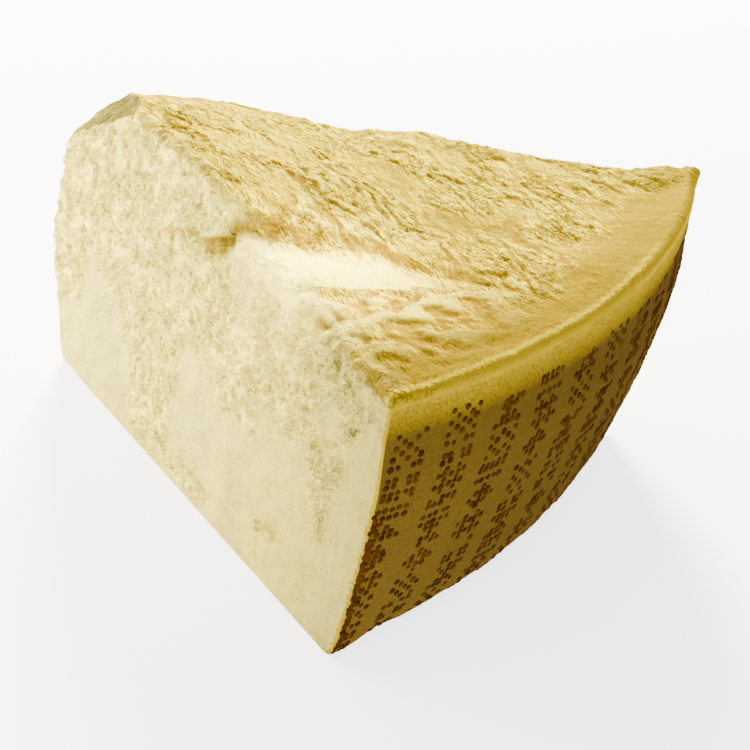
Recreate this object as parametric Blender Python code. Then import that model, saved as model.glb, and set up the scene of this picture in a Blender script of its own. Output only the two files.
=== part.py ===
"""Parmesan chunk: a wedge split out of half the height of a hard cheese wheel.

The wedge lies on the wheel's flat face. It has six sides: the rind at its front (-Y), two split
sides that run back towards the wheel's axis, the broken tip, the split top and the flat base.
All six come from one subdivided block, whose points are bent into the wedge by form().

Lengths are metres. The wedge is worked out with the line where its two sides would meet at
x = y = 0 and its base at z = 0; set_origin() then moves the origin to the middle of the base.
"""

import math

import bmesh
import bpy
import numpy as np
from mathutils import Vector, noise

NAME = "parmesan_chunk"

# Driving dimensions
WHEEL_RADIUS = 0.2324       # at the wheel's mid-height, which is the chunk's top
WHEEL_CENTRE_BACK = 0.0174  # the sides meet this far in front of the wheel's axis
WEDGE_ANGLE = math.radians(51.3)
HEIGHT = 0.097              # of the rind and of the top's right edge

# Rind: how far it draws in below DRAW_IN_TOP, and the rounded rim at the base (inwards, upwards)
DRAW_IN_LEFT, DRAW_IN_RIGHT = 0.0120, 0.0174
DRAW_IN_TOP, DRAW_IN_POWER = 0.070, 1.25
RIM_LEFT, RIM_RIGHT, RIM_HEIGHT = 0.0030, 0.0097, 0.032
CORNER_ROUND = 0.0030       # where the rind's rim meets the left side
SHOULDER_ROUND = 0.0030     # where the rind meets the top

# Broken tip: its distance from the meeting line at a few heights, and the facet that cuts its top
TIP_OUTLINE = ((0.000, 0.021), (0.006, 0.018), (0.020, 0.0155), (0.034, 0.013), (0.048, 0.0115),
               (0.058, 0.014), (0.066, 0.0165), (0.080, 0.018))
FACET_NORMAL = Vector((-0.158, 0.654, 0.739))
FACET_DISTANCE = 0.0508     # from the meeting line's foot, along FACET_NORMAL
FACET_BULGE, BULGE_HEIGHT, BULGE_HALF = 0.0015, 0.090, 0.008

# Top: height over HEIGHT by distance from the meeting line, along the left edge on the tip's side
# of the step, along the left edge past it, and along the right edge
CREST = ((0.050, 0.0120), (0.068, 0.0125), (0.085, 0.0160), (0.100, 0.0170), (0.117, 0.0145),
         (0.131, 0.0100), (0.185, 0.0020))
TERRACE = ((0.125, 0.0040), (0.150, 0.0045), (0.165, 0.0020), (0.190, 0.0020), (0.216, 0.0000))
RIGHT_EDGE = ((0.029, -0.0015), (0.060, 0.0010), (0.080, -0.0015), (0.105, -0.0030), (0.125, 0.0000),
              (0.145, -0.0020), (0.190, -0.0030), (0.204, 0.0000), (0.215, 0.0020))
STEP_AT, STEP_WIDTH = 0.131, 0.006
STEP_RUN, STEP_SPAN = 0.055, 0.62   # the step runs this far outwards over this share of the wedge
EDGE_ROUND, EDGE_ROUND_PAST_STEP = 0.003, 0.010

# Left side: it leans in above LEAN_FROM, and a lip stands out over a hollow below the crest
LEAN_FROM, LEAN = 0.080, 0.16
LIP_START, LIP_END = 0.078, 0.130
LIP_HEIGHT_START, LIP_SLOPE = 0.078, 0.42
LIP_OUT, LIP_IN, LIP_WIDTH = 0.0030, 0.0030, 0.009

LEFT_WAVE, RIGHT_WAVE, TOP_WAVE, WAVE_LENGTH = 0.0010, 0.0030, 0.0012, 0.034
BLOCK_CUTS = (40, 36, 18)   # faces along the radius, across the wedge and up its height
END_SPACING = 0.35          # of the faces at the block's ends, as a share of the even spacing
FLAT = 1e-6                 # points lower than this belong to the base


def blend(a, b, share):
    return a + (b - a) * share


def ease(start, end, value):
    """0 before start, 1 after end, and a smooth rise between them."""
    share = min(max((value - start) / (end - start), 0.0), 1.0)
    return share * share * (3 - 2 * share)


def hump(centre, half_width, value):
    """1 at the centre, falling smoothly to 0 past about two half widths."""
    return math.exp(-((value - centre) / half_width) ** 2)


def quarter_round(radius, distance):
    """How far a rounded edge falls away at this distance from it."""
    if distance >= radius:
        return 0.0
    return radius - math.sqrt(radius ** 2 - (radius - max(distance, 0.0)) ** 2)


def follow(points, at):
    """Height of the broken line through the points (place, height)."""
    places, heights = zip(*points)
    return float(np.interp(at, places, heights))


def wave(x, y, z, seed):
    """Smooth noise from about -1 to 1."""
    return 2.0 * noise.fractal(Vector((x, y, z)) / WAVE_LENGTH + Vector((seed, -seed, seed)), 0.6, 2.0, 3)


def rind_radius(azimuth, across, z):
    """Distance from the meeting line to the rind. Azimuth 0 points to -Y; across is 0 left, 1 right."""
    back = WHEEL_CENTRE_BACK
    reach = math.sqrt(WHEEL_RADIUS ** 2 - (back * math.sin(azimuth)) ** 2) - back * math.cos(azimuth)
    draw_in = blend(DRAW_IN_LEFT, DRAW_IN_RIGHT, across) * max(1 - z / DRAW_IN_TOP, 0.0) ** DRAW_IN_POWER
    rim = blend(RIM_LEFT, RIM_RIGHT, ease(0.0, 0.12, across)) * quarter_round(1.0, z / RIM_HEIGHT)
    corner = quarter_round(CORNER_ROUND, z) * (1 - ease(0.0, 0.1, across))
    return reach - draw_in - rim - corner


def tip_radius(azimuth, z):
    """Distance from the meeting line to the broken tip: a ragged end with a facet over it."""
    slope = FACET_NORMAL.y * math.cos(azimuth) - FACET_NORMAL.x * math.sin(azimuth)
    distance = FACET_DISTANCE + FACET_BULGE * hump(BULGE_HEIGHT, BULGE_HALF, z)
    facet = (FACET_NORMAL.z * z - distance) / slope
    return max(follow(TIP_OUTLINE, z), facet)


def top_height(radius, across):
    """The split top falls from the left edge to the right one, and a step crosses it."""
    high = follow(CREST, radius) * (1 - across) ** 1.2
    low = follow(TERRACE, radius) * (1 - across) ** 2
    step_at = STEP_AT + STEP_RUN * across / STEP_SPAN
    past = ease(step_at - STEP_WIDTH / 2, step_at + STEP_WIDTH / 2, radius)
    edge_round = blend(EDGE_ROUND, EDGE_ROUND_PAST_STEP, hump(0.155, 0.022, radius))
    edge = quarter_round(edge_round, across * WEDGE_ANGLE * radius)
    return HEIGHT + blend(high, low, past) + follow(RIGHT_EDGE, radius) * across - edge


def left_inset(radius, z):
    """How far the left split lies inside the flat side; negative where it stands out."""
    from_lip = z - LIP_HEIGHT_START - (radius - LIP_START) * LIP_SLOPE
    along = ease(LIP_START - LIP_WIDTH, LIP_START + LIP_WIDTH, radius)
    along *= 1 - ease(LIP_END - LIP_WIDTH, LIP_END + LIP_WIDTH, radius)
    lip = LIP_IN * hump(-LIP_WIDTH, LIP_WIDTH, from_lip) - LIP_OUT * hump(LIP_WIDTH, LIP_WIDTH, from_lip)
    return LEAN * max(z - LEAN_FROM, 0.0) + lip * along


def form(along, across, up):
    """Bends a point of the unit block into the wedge. Each argument runs from 0 to 1."""
    azimuth = (across - 0.5) * WEDGE_ANGLE
    z = up * HEIGHT
    for _ in range(4):
        tip = tip_radius(azimuth, z)
        radius = blend(tip, rind_radius(azimuth, across, z), along)
        from_rind = (1 - along) * (WHEEL_RADIUS - tip)
        z = up * (top_height(radius, across) - quarter_round(SHOULDER_ROUND, from_rind))
    x, y = radius * math.sin(azimuth), -radius * math.cos(azimuth)

    left, right = -WEDGE_ANGLE / 2, WEDGE_ANGLE / 2
    inner = ease(0.0, 0.012, z) * (1 - ease(0.93, 1.0, along))
    left_in = (left_inset(radius, z) + LEFT_WAVE * inner * wave(radius, z, 0.0, 1.7)) * (1 - across)
    right_in = RIGHT_WAVE * inner * (1 - up ** 2) * wave(radius, z, 0.2, 5.1) * across
    x += left_in * math.cos(left) - right_in * math.cos(right)
    y += left_in * math.sin(left) - right_in * math.sin(right)
    z += TOP_WAVE * wave(x, y, 0.5, 9.2) * inner * up ** 3
    return Vector((x, y, z))


def closer_at_ends(share):
    """Spreads evenly spaced cuts so that they lie closer together towards both ends."""
    return END_SPACING * share + (1 - END_SPACING) * (1 - math.cos(math.pi * share)) / 2


def make_block(cuts):
    """A closed block of 0 to 1 on each axis, cut into a grid on all six sides."""
    mesh = bmesh.new()
    bmesh.ops.create_cube(mesh, size=1.0)
    bmesh.ops.translate(mesh, verts=mesh.verts, vec=(0.5, 0.5, 0.5))
    for axis, count in enumerate(cuts):
        for cut in range(1, count):
            place, normal = Vector((0, 0, 0)), Vector((0, 0, 0))
            place[axis], normal[axis] = cut / count, 1
            everything = mesh.verts[:] + mesh.edges[:] + mesh.faces[:]
            bmesh.ops.bisect_plane(mesh, geom=everything, dist=1e-6, plane_co=place, plane_no=normal)
    return mesh


def join_base(mesh):
    """Joins the flat base's grid into one face."""
    base = [face for face in mesh.faces if all(vertex.co.z < FLAT for vertex in face.verts)]
    bmesh.ops.dissolve_faces(mesh, faces=base)


def make_chunk():
    mesh = make_block(BLOCK_CUTS)
    for vertex in mesh.verts:
        vertex.co = form(*(closer_at_ends(share) for share in vertex.co))
    join_base(mesh)
    bmesh.ops.triangulate(mesh, faces=mesh.faces)
    bmesh.ops.recalc_face_normals(mesh, faces=mesh.faces)
    data = bpy.data.meshes.new(NAME)
    mesh.to_mesh(data)
    mesh.free()
    return bpy.data.objects.new(NAME, data)


def set_origin(chunk):
    """Moves the chunk so that the middle of its base's box is the origin."""
    points = [vertex.co for vertex in chunk.data.vertices]
    low = Vector(min(point[axis] for point in points) for axis in range(3))
    high = Vector(max(point[axis] for point in points) for axis in range(3))
    offset = Vector(((low.x + high.x) / 2, (low.y + high.y) / 2, low.z))
    for vertex in chunk.data.vertices:
        vertex.co -= offset


def cheese_material():
    material = bpy.data.materials.new("cheese")
    material.use_nodes = True
    shader = material.node_tree.nodes["Principled BSDF"]
    shader.inputs["Base Color"].default_value = (0.80, 0.70, 0.42, 1.0)
    shader.inputs["Roughness"].default_value = 0.55
    shader.inputs["Metallic"].default_value = 0.0
    return material


def main():
    for old in list(bpy.data.objects):
        bpy.data.objects.remove(old)
    collection = bpy.data.collections.new(NAME + "_parts")
    bpy.context.scene.collection.children.link(collection)
    chunk = make_chunk()
    set_origin(chunk)
    chunk.data.materials.append(cheese_material())
    chunk.data.shade_smooth()
    chunk.data.set_sharp_from_angle(angle=math.radians(40))
    collection.objects.link(chunk)


main()
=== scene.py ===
"""Looks of the parmesan chunk: its broken paste, curved rind and burnt dotted ornament.

The chunk is one closed block whose points are bent into the wedge that the CAD model has, and
then given the relief of the breaks. Lengths are metres. "Radius" is the distance from the line
where the wedge's two sides would meet; azimuth 0 points to -Y; across is 0 left and 1 right; s is
the distance from the meeting line along the left side.

Constants: a FADE is the start and end of an ease(). A pair named WAVE, GRAIN, RAGGED, WANDER or
BEND is the height and length of waves, and a single RAGGED is how much such waves move a border.
A SPREAD is from, to, and the shares there; a NOISE is scale, detail and roughness; a fine RELIEF
is height and strength.
"""

import math

import bmesh
import bpy
import numpy as np
from mathutils import Matrix, Quaternion, Vector


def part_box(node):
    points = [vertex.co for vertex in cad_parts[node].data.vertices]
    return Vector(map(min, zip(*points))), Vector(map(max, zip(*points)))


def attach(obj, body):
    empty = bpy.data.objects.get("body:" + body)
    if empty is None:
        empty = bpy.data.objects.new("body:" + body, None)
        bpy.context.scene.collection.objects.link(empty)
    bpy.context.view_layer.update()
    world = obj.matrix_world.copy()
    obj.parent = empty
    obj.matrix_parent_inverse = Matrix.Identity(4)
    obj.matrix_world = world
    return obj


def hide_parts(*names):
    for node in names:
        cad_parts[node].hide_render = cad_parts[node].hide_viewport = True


NODE = "parmesan_chunk"

# The wedge, as in the CAD model
MEETING_LINE_FROM_FRONT = 0.2155
WHEEL_RADIUS, WHEEL_CENTRE_BACK = 0.2324, 0.0174
WEDGE_ANGLE = math.radians(51.3)
LEFT = -WEDGE_ANGLE / 2   # azimuth of the left side
HEIGHT = 0.097
DRAW_IN_LEFT, DRAW_IN_RIGHT = 0.012, 0.0174
DRAW_IN_TOP, DRAW_IN_POWER = 0.07, 1.25
RIM_LEFT, RIM_RIGHT, RIM_HEIGHT = 0.003, 0.0097, 0.032
RIM_FADE, CORNER_FADE = (0.0, 0.12), (0.0, 0.1)   # across the wedge
CORNER_ROUND, SHOULDER_ROUND = 0.003, 0.003
TIP_OUTLINE = ((0.0, 0.021), (0.006, 0.018), (0.02, 0.0155), (0.034, 0.013), (0.048, 0.0115),
               (0.058, 0.014), (0.066, 0.0165), (0.08, 0.018))
FACET_NORMAL = Vector((-0.158, 0.654, 0.739))
FACET_DISTANCE, FACET_BULGE, BULGE_HEIGHT, BULGE_HALF = 0.0508, 0.0015, 0.09, 0.008
CREST = ((0.05, 0.012), (0.068, 0.0125), (0.085, 0.016), (0.1, 0.017), (0.117, 0.0145),
         (0.131, 0.01), (0.185, 0.002))
TERRACE = ((0.125, 0.004), (0.15, 0.0045), (0.165, 0.002), (0.19, 0.002), (0.216, 0.0))
CREST_POWER, TERRACE_POWER = 1.2, 2
RIGHT_EDGE = ((0.029, -0.0015), (0.06, 0.001), (0.08, -0.0015), (0.105, -0.003), (0.125, 0.0),
              (0.145, -0.002), (0.19, -0.003), (0.204, 0.0), (0.215, 0.002))
STEP_LINE = ((0.0, 0.1265), (0.05, 0.129), (0.1, 0.1335), (0.15, 0.139), (0.25, 0.143), (0.29, 0.152),
             (0.32, 0.166), (0.37, 0.178), (0.5, 0.183), (0.7, 0.192))   # share of the wedge, radius
STEP_WIDTH, STEP_WIDENS = 0.005, 0.026   # at the left edge, and how much more across the whole wedge
EDGE_ROUND, EDGE_ROUND_PAST_STEP = 0.0025, 0.006
ROUNDER_AT, ROUNDER_HALF = 0.155, 0.022
LEAN_FROM, LEAN_AT_TIP, LEAN, LEAN_FADE = 0.08, 0.16, 0.06, (0.05, 0.085)
BLOCK_CUTS = (320, 240, 150)   # along the radius, across the wedge, upwards
END_SPACING = 0.75   # of the faces at the block's ends, as a share of the even spacing
SAME_POINT = 1e-5   # points closer than this are joined
TIP_ROUNDS = 4   # of settling the tip's height and the top's against each other

# Noise: size of its tables, its gain, the step between its octaves' seeds, and more than any distance
TABLE, GRAIN_GAIN, SEED_STEP, FAR = 256, 1.6, 7, 9.0

# Left side: granular above LOWER_EDGE (radius, height), smooth or rough in patches (radius, height and
# half sizes), with a raised flake, the TOOTH (radius, half width, height of its point, of its top)
LOWER_EDGE = ((0.01, 0.016), (0.026, 0.022), (0.038, 0.046), (0.049, 0.048), (0.06, 0.036),
              (0.066, 0.03), (0.076, 0.004), (0.094, -0.004), (0.104, 0.05), (0.123, 0.055),
              (0.13, 0.044), (0.146, 0.044), (0.154, 0.056), (0.174, 0.058), (0.184, 0.044),
              (0.19, 0.044), (0.197, 0.06), (0.205, 0.084), (0.216, 0.09))
LOWER_FADE, LOWER_RAGGED = (-0.004, 0.01), (0.01, 0.018)
SMOOTH_PATCHES = ((0.189, 0.075, 0.009, 0.013), (0.137, 0.088, 0.008, 0.01))
SMOOTH_FADE, SMOOTH_RAGGED, SMOOTH_LEFT = (0.7, 1.2), 30, 0.3
ROUGH_PATCHES = ((0.16, 0.0185, 0.0065, 0.003), (0.189, 0.046, 0.0035, 0.012),
                 (0.112, 0.006, 0.014, 0.0035))
ROUGH_FADE, ROUGH_RAGGED = (1.2, 0.8), 40
TOOTH, TOOTH_OUT = (0.111, 0.009, 0.056, 0.086), 0.0012
TOOTH_WIDENS_OVER, TOOTH_EDGE, TOOTH_FADES_OVER = 0.016, 0.0016, 0.012
CHIPS = ((0.0042, 0.0009, 153), (0.0022, 0.0006, 133))   # width, height and seed
CHIP_STRETCH, CHIP_STEP, CHIP_JOINT, CHIP_BEND = 1.5, 0.4, 0.12, (0.0012, 0.004)
CHIP_RUN = (0.8, 0.6)   # the chips' direction, along the side and upwards
GRANULAR_OUT, GRANULAR_WAVE = 0.0008, (0.0009, 0.014)
SMOOTH_GRAIN, SMOOTH_WAVE = (0.0001, 0.0035), (0.0004, 0.03)

# Lip over the hollow on the left side: its lower edge by radius
LIP_LINE = ((0.07, 0.077), (0.08, 0.081), (0.09, 0.085), (0.1, 0.0915), (0.106, 0.0955),
            (0.114, 0.0945), (0.121, 0.0985), (0.13, 0.105))
LIP_START_FADE, LIP_END_FADE, LIP_WANDER = (0.068, 0.086), (0.124, 0.132), (0.0012, 0.006)
LIP_OUT, LIP_IN, LIP_THICK = 0.0022, 0.0022, 0.01
LIP_EDGE_FADE, UNDER_EDGE_FADE = (-0.0005, 0.0005), (-0.001, 0.0005)
HOLLOW_FADE = (-0.01, -0.001)   # from its foot to its roof, counted from the lip's edge
HOLLOW_DEEPER, HOLLOW_DEEPER_FADE = 2.2, (0.1, 0.108)
# Painted shade: the hollow under the lip is painted golden
HOLLOW_SHADE = (0.1145, -0.003, 0.0125, 0.004)   # radius, height from the lip's edge, half sizes
HOLLOW_SHADE_FADE = (1.2, 0.6)
# Painted shade: a golden line in the crease from the hollow up to the step
NOSE_LINE = ((0.127, 0.097), (0.13, 0.1045))   # golden, from the hollow up to the step
NOSE_HALF, NOSE_FADE = 0.001, (-0.2, 0.1)

# Top: overlapping torn layers, with calmer patches and smooth spots between them
FLAKE_RUN = (0.43, 0.9)   # the flakes' direction in plan
FLAKE_STRETCH = 1.8
LAYERS = ((0.008, 0.001, 1.1, 91), (0.0038, 0.0003, 1.1, 49))   # spacing, height, wander and seed
WANDER_LENGTH, LAYER_MIDDLE = 1.3, 0.55
PATCH_WIDE, PATCH_FADE, CALM_HIGH, CALM_PALE = 0.02, (-0.5, 0.2), 0.2, 0.3
TOP_GRAIN, LUMP_GRAIN, BAND_GRAIN = (0.00015, 0.0022), (0.00015, 0.004), (0.00012, 0.003)
RAGGED, LEAST_CRUMBLY = (0.006, 0.014), 0.45
SMOOTH_SPOTS = ((-0.007, -0.098, 0.006), (0.014, -0.088, 0.006), (0.015, -0.125, 0.006),
                (0.002, -0.155, 0.007))   # x, y, half width
SPOT_STRETCH, SPOT_FADE, SPOT_RAGGED, SPOT_CRUMBLY, SPOT_PALE = 1.6, (1.3, 0.7), 60, 0.12, 0.05
SPOT_RELIEF, CREAM_RELIEF = (0.0004, 0.3), (0.0004, 0.4)   # height, share of the layers' relief kept
BAND_HIGH, FACET_HIGH = 0.0005, 0.0006

# Top: lumps between the crease and the rind
LUMP_WIDE, LUMP_HIGH, LUMP_STRETCH, LUMP_RUN = 0.0065, 0.0012, 1.35, (0.8, -0.6)
DOME_FADE, LUMPS_FLATTEN, LUMP_CRUMBLY = (-0.4, 0.5), (-0.006, 0.024), 0.2
LUMPS_PAST_CREASE, LUMPS_ACROSS, ACROSS_RAGGED = (0.0, 0.006), (0.3, 0.46), 3
# The lumps' domes are painted pale as highlights and their gaps golden as shade
LUMP_HIGHLIGHT, LUMP_SHADE, LUMP_TONE_FADE = 1.15, 0.45, (0.004, 0.03)
CREST_GOLD, CREST_GOLD_AT, CREST_GOLD_HALF, CREST_GOLD_END = 0.35, 0.011, 0.008, (-0.004, 0.0)

# Top: crease at the terrace's front, the cream band behind it, and the smooth band along the rind
CREASE_AT, CREASE_RUN, CREASE_HIGH, CREASE_WANDER = 0.1575, 0.066, 0.0011, (0.0012, 0.009)
SHORTEST_RAMP = 0.004
# The cream band is smooth paste painted pale, partly its own tone and partly a painted highlight
CREAM_RAMP, CREAM_END, CREAM_ACROSS, CREAM_CRUMBLY = (0.1, 0.55), (-0.001, 0.0005), (0.2, 0.33), 0.25
# Painted shade: a golden line along the step
STEP_SHADE, STEP_SHADE_PAST, STEP_SHADE_HALF, STEP_SHADE_ACROSS = -0.35, 0.001, 0.0035, (0.36, 0.55)
SMOOTH_BAND = ((0.0, 0.004), (0.15, 0.006), (0.35, 0.01), (0.5, 0.025), (0.75, 0.028), (0.87, 0.024),
               (0.93, 0.008), (1.0, 0.003))   # width by share of the wedge
BAND_INNER, BAND_CRUMBLY = 0.6, 0.15
FACET_ACROSS, FACET_RAGGED, FACET_END = (0.78, 0.92), 4, (0.07, 0.082)
LEFT_CRUMBLY, LEFT_CRUMBLY_FADE = 0.8, (0.03, 0.1)
RAMP_START, RAMP_END, RAMP_FRONT = (0.02, 0.06), (0.22, 0.36), (0.0, 0.003)

# Top: two small dents by the left edge (radius, distance from the edge and half sizes)
DENTS = ((0.1765, 0.0018, 0.0046, 0.0014), (0.1755, 0.0066, 0.0036, 0.0016))
# Painted shade inside the dents, and a painted highlight on the ring around them
DENT_DEEP, DENT_SHADE = 0.0016, -0.9
DENT_RING, DENT_RING_HIGHLIGHT = (0.1765, 0.004, 0.007, 0.006), 0.9
LONG_WAVE = (0.0012, 0.034)
BACK_EDGE_HIGH, BACK_EDGE_WIDE, BACK_EDGE_FADE = 0.0011, 0.011, (0.8, 1.0)

# Rind and hidden breaks
RIND_WAVE, RIND_GRAIN = (0.0005, 0.022), (0.0001, 0.003)
BREAK_WAVE, BREAK_CRUMB = (0.001, 0.012), (0.0007, 0.0045)
BASE_FADE, HIDDEN_BASE_FADE = (0.0, 0.003), (0.0, 0.006)   # relief starts over these heights

# Tones that the materials read: the highlights and shade painted on the flakes, and how golden the paste is,
# partly painted glow and shade
# Painted highlight along the rounded left edge of the top
EDGE_HIGHLIGHTS = ((0.012, 0.002), 0.5), ((0.004, 0.001), 0.35), ((0.03, 0.005), 0.5)   # from the left, tone
EDGE_PAST_STEP, EDGE_AT_STEP = (0.004, 0.012), 0.005
LEFT_PALE, LEFT_LEAST_ROUGH, PALE_LESS_GOLD = 0.25, 0.25, 0.6
GOLD_ABOVE_EDGE, GOLD_SHIFT, GOLD_EDGE_FADE, GOLD_CHIPPED = 0.001, 0.0002, (-0.0005, 0.0005), 0.5
CHIPPED = (0.0016, 0.005)
GOLD_PAST_STEP, GOLD_FROM_LEFT = (0.18, 0.195), (0.003, 0.01)
NOSE_AT, NOSE_WIDE, NOSE_GOLD_FADE = 0.128, 0.006, (0.001, 0.004)
# Painted shade: a golden line along the step, narrower by the left edge
STEP_LINE_HALF, STEP_LINE_FADE = (0.0012, 0.003), (0.001, 0.009)
# Painted shade: the tip's facet is painted olive, more so upwards
FACET_SHADE_FADE = (0.066, 0.094)

FLAT = 1e-5   # points lower than this belong to the base
EDGE = 1e-6   # points this close to a side of the unit block lie on it
FACE_LIMIT = 196000   # triangles that thinning leaves on the chunk
HIDDEN_FACTOR = 10.0
SEEN, RIND_SEEN, TIP_SEEN, RIGHT_SEEN = 0.1, 0.5, 0.2, 0.5   # weights for thinning
TIP_SEEN_FADE, RIGHT_SEEN_FADE = (0.06, 0.075), (0.08, 0.09)
# Dips, points lower than their neighbours, are painted golden as shade
DIP_SCALE, DIP_ROUNDS, DIP_SHARE = 0.00022, 8, 0.7   # depth of a full dip; how the relief is averaged

# Ornament: columns of dotted motifs, placed along the rind from its left edge
MARK_SEED = 5
MARK_COLUMNS, FIRST_COLUMN, COLUMN_PITCH = 10, 0.0095, 0.0185
MARK_TOP, MARK_BOTTOM, MARK_LEAN, MARK_MISSING = 0.0875, 0.003, 0.115, 0.05
MARK_FIRST, TOP_SCATTER, DOT_SCATTER = -0.0004, 0.004, 0.00015
DOT_PITCH, ROW_PITCH, MOTIF_GAP = 0.0024, 0.0019, 0.0011
DOT_HALF, DOT_SMALLEST, DOT_RANGE = (0.00112, 0.00118, 0.00035), 0.8, 0.4
DOT_LEAN = math.radians(-25)
EDGE_MARKS = (0.006, 0.056, 0.0016)   # lowest, highest and pitch of the marks along the left edge
EDGE_MARKS_EACH, EDGE_SCATTER = 2, (0.0012, 0.0008)
RIND_ARC_RADIUS = 0.2155
PROBE = 0.001   # step along the rind that its direction is measured over
MOTIFS = (("..o..", ".ooo.", "ooooo", ".ooo.", "..o.."),
          ("o.o.o", ".o.o.", "o.o.o", ".o.o.", "o.o.o"),
          ("ooooo", "ooooo", ".....", "ooooo"),
          ("ooooo", ".ooo.", "..o..", ".ooo.", "ooooo"),
          ("oo.oo", ".....", "oo.oo", "oo.oo"),
          (".o.o.", "ooooo", ".o.o.", "ooooo", ".o.o."))

# Relief too fine for the mesh: directions that flakes and chips run in, and that their sides painted in
# shade face
FLAKE_DIRECTION, CHIP_DIRECTION = (0.43, 0.9, 0.0), (-0.346, -0.721, 0.6)
FLAKE_SQUEEZE, CHIP_SQUEEZE = 1.5, 1.9
GOLDEN_SIDE, CHIP_SIDE = (-0.9, 0.43, 0.0), (-0.26, -0.54, -0.8)
UPWARDS = (0.0, 0.0, 1.0)
OWN_NORMAL = (0.0, 0.0, 0.0)   # the unlinked input stands for the surface's own normal
EDGE_SHARE = 0.8   # of each torn layer rises gently; the rest is its steep edge
# Layers: spacing, how much their edges wander, the wander's scale, and height
FLAKE_LAYERS = ((0.006, -6.0, 120.0, 0.0017), (0.0034, -5.0, 230.0, 0.0007))
CHIP_LAYERS = ((0.009, 9.0, 150.0, 0.0021), (0.005, 7.0, 340.0, 0.0012))
WANDER_DETAIL, TORN_DETAIL, DARK_LINE_DETAIL = (4.0, 0.55), (2.0, 0.5), (4.0, 0.6)
TORN_SCALE, TORN_SPREAD = 0.9, (0.42, 0.58, 0.05, 1.0)
FINE_NOISE, FINE_HIGH = (1300.0, 3.0, 0.65), 0.0004
DRAG_NOISE, DRAG_SQUEEZE, DRAG_HIGH, DRAG_SPREAD = (300.0, 4.0, 0.6), 9.0, 0.001, (0.3, 0.8, 1.0, 0.0)

# Paste. A coat of colour has what it follows, from, to, the shares there, and its colour
FULL = (0.0, 1.0, 0.0, 1.0)
COOL_NOISE, COOL_SQUEEZE = (38.0, 3.0, 0.6), 2.5
COOL_SPREAD, COOL_WHERE_SMOOTH = (0.44, 0.6, 0.0, 0.8), (0.3, 0.9, 1.0, 0.15)
# Thin dark lines; on the top they are painted shadow along the flakes' edges
IVORY_DARK_LINES, FLAKE_DARK_LINES = (150.0, 0.03, 0.16), (115.0, 0.06, 0.75)   # scale, half width, share
BLOTCH_NOISE = (60.0, 3.0, 0.5)
CRUMB_NOISE, CRUMB_SPREAD = (170.0, 3.0, 0.6), (0.52, 0.64, 0.0, 0.9)
# Painted shade on the flakes' sides that face left, away from the light, less where they are painted pale
DEEP_FACING, DEEP_WHERE_PALE = (0.0, 0.28, 0.0, 0.85), (0.0, 0.8, 1.0, 0.3)
IVORY_SMOOTH, IVORY_SHADE = (0.68, 0.55, 0.083, 1.0), (0.52, 0.385, 0.045, 1.0)
# The deepest gold here is the colour of painted shade on the top
GOLD_PALE, SHADE_GOLD, FLAKE_PALE = (0.335, 0.202, 0.0, 1.0), (0.185, 0.101, 0.0, 1.0), (0.97, 0.735, 0.0, 1.0)
IVORY_COATS = (
    ("rough", (0.3, 1.0, 0.0, 1.0), (0.97, 0.785, 0.11, 1.0)),
    ("cool", FULL, (0.54, 0.45, 0.105, 1.0)),
    # Painted shade: the sides darken towards the rind
    ("to_rind", (0.0, 0.08, 0.9, 0.0), (0.28, 0.226, 0.052, 1.0)),
    # Painted shade: the dips are painted golden
    ("dip_shade", (0.2, 1.0, 0.0, 0.4), GOLD_PALE),
    # Painted shade on faces turned downwards
    ("below", (0.15, 0.8, 0.0, 0.5), IVORY_SHADE),
    ("cracks", FULL, IVORY_SHADE),
    # Painted shade on the tip's facet
    ("facet_shade", FULL, (0.165, 0.132, 0.023, 1.0)),
)
GOLDEN_COATS = (
    ("blotch", (0.35, 0.65, 0.0, 1.0), (0.285, 0.171, 0.0, 1.0)),
    # Painted highlight on flake sides that face the light
    ("facing", (-0.44, -0.1, 0.95, 0.0), FLAKE_PALE),
    ("crumb", FULL, FLAKE_PALE),
    # Painted highlight where the painted light value is high
    ("pale", (0.16, 0.85, 0.0, 0.85), FLAKE_PALE),
    # Painted shadow along the flakes' edges
    ("cracks", FULL, SHADE_GOLD),
    ("to_rind", (0.01, 0.026, 1.0, 0.0), (0.215, 0.134, 0.0, 1.0)),
    # Painted shade on flake sides that face left
    ("deep", FULL, SHADE_GOLD),
    # Painted shade where the painted light value is below zero
    ("pale", (-1.0, 0.0, 0.8, 0.0), SHADE_GOLD),
    ("arc", (0.06, 0.2, 0.0, 0.1), FLAKE_PALE),
)
HAIR_NOISE, HAIR_LONG = (900.0, 2.0, 0.5), 0.003
FRINGE_SPREAD, FRINGE_ARC = (0.0008, 0.0026, 0.6, 0.0), (0.12, 0.15, 1.0, 0.0)
RIND_EDGE_COATS = (
    ("fringe", FULL, (0.66, 0.5, 0.0, 1.0)),
    ("from_rind", (0.0002, 0.0008, 1.0, 0.0), (0.25, 0.166, 0.0, 1.0)),
)

# Rind, burnt dots and floor
# The rind darkens downwards, partly its own tone and partly painted shade, and towards the right as painted
# shade
RIND_LOW = (0.077, 0.047, 0.007, 1.0)
RIND_COATS = (
    # Lighter upwards: partly the rind's own tone, partly painted shade at its foot
    ("height", (0.02, 0.088, 0.0, 1.0), (0.067, 0.041, 0.005, 1.0)),
    # Painted shade: darker towards the right
    ("arc", (0.02, 0.13, 0.0, 1.0), (0.037, 0.022, 0.005, 1.0)),
    # The yellow band at the top, partly its own tone and partly painted light
    ("height", (0.0835, 0.0955, 0.0, 1.0), (0.275, 0.183, 0.0, 1.0)),
    ("specks", (0.42, 0.66, 0.0, 0.7), (0.045, 0.025, 0.002, 1.0)),
)
SPECK_NOISE, RIND_FINE_NOISE, RIND_FINE_RELIEF = (1100.0, 4.0, 0.7), (900.0, 3.0, 0.6), (0.0004, 0.6)
BURNT_DARK = (0.022, 0.008, 0.002, 1.0)
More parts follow.
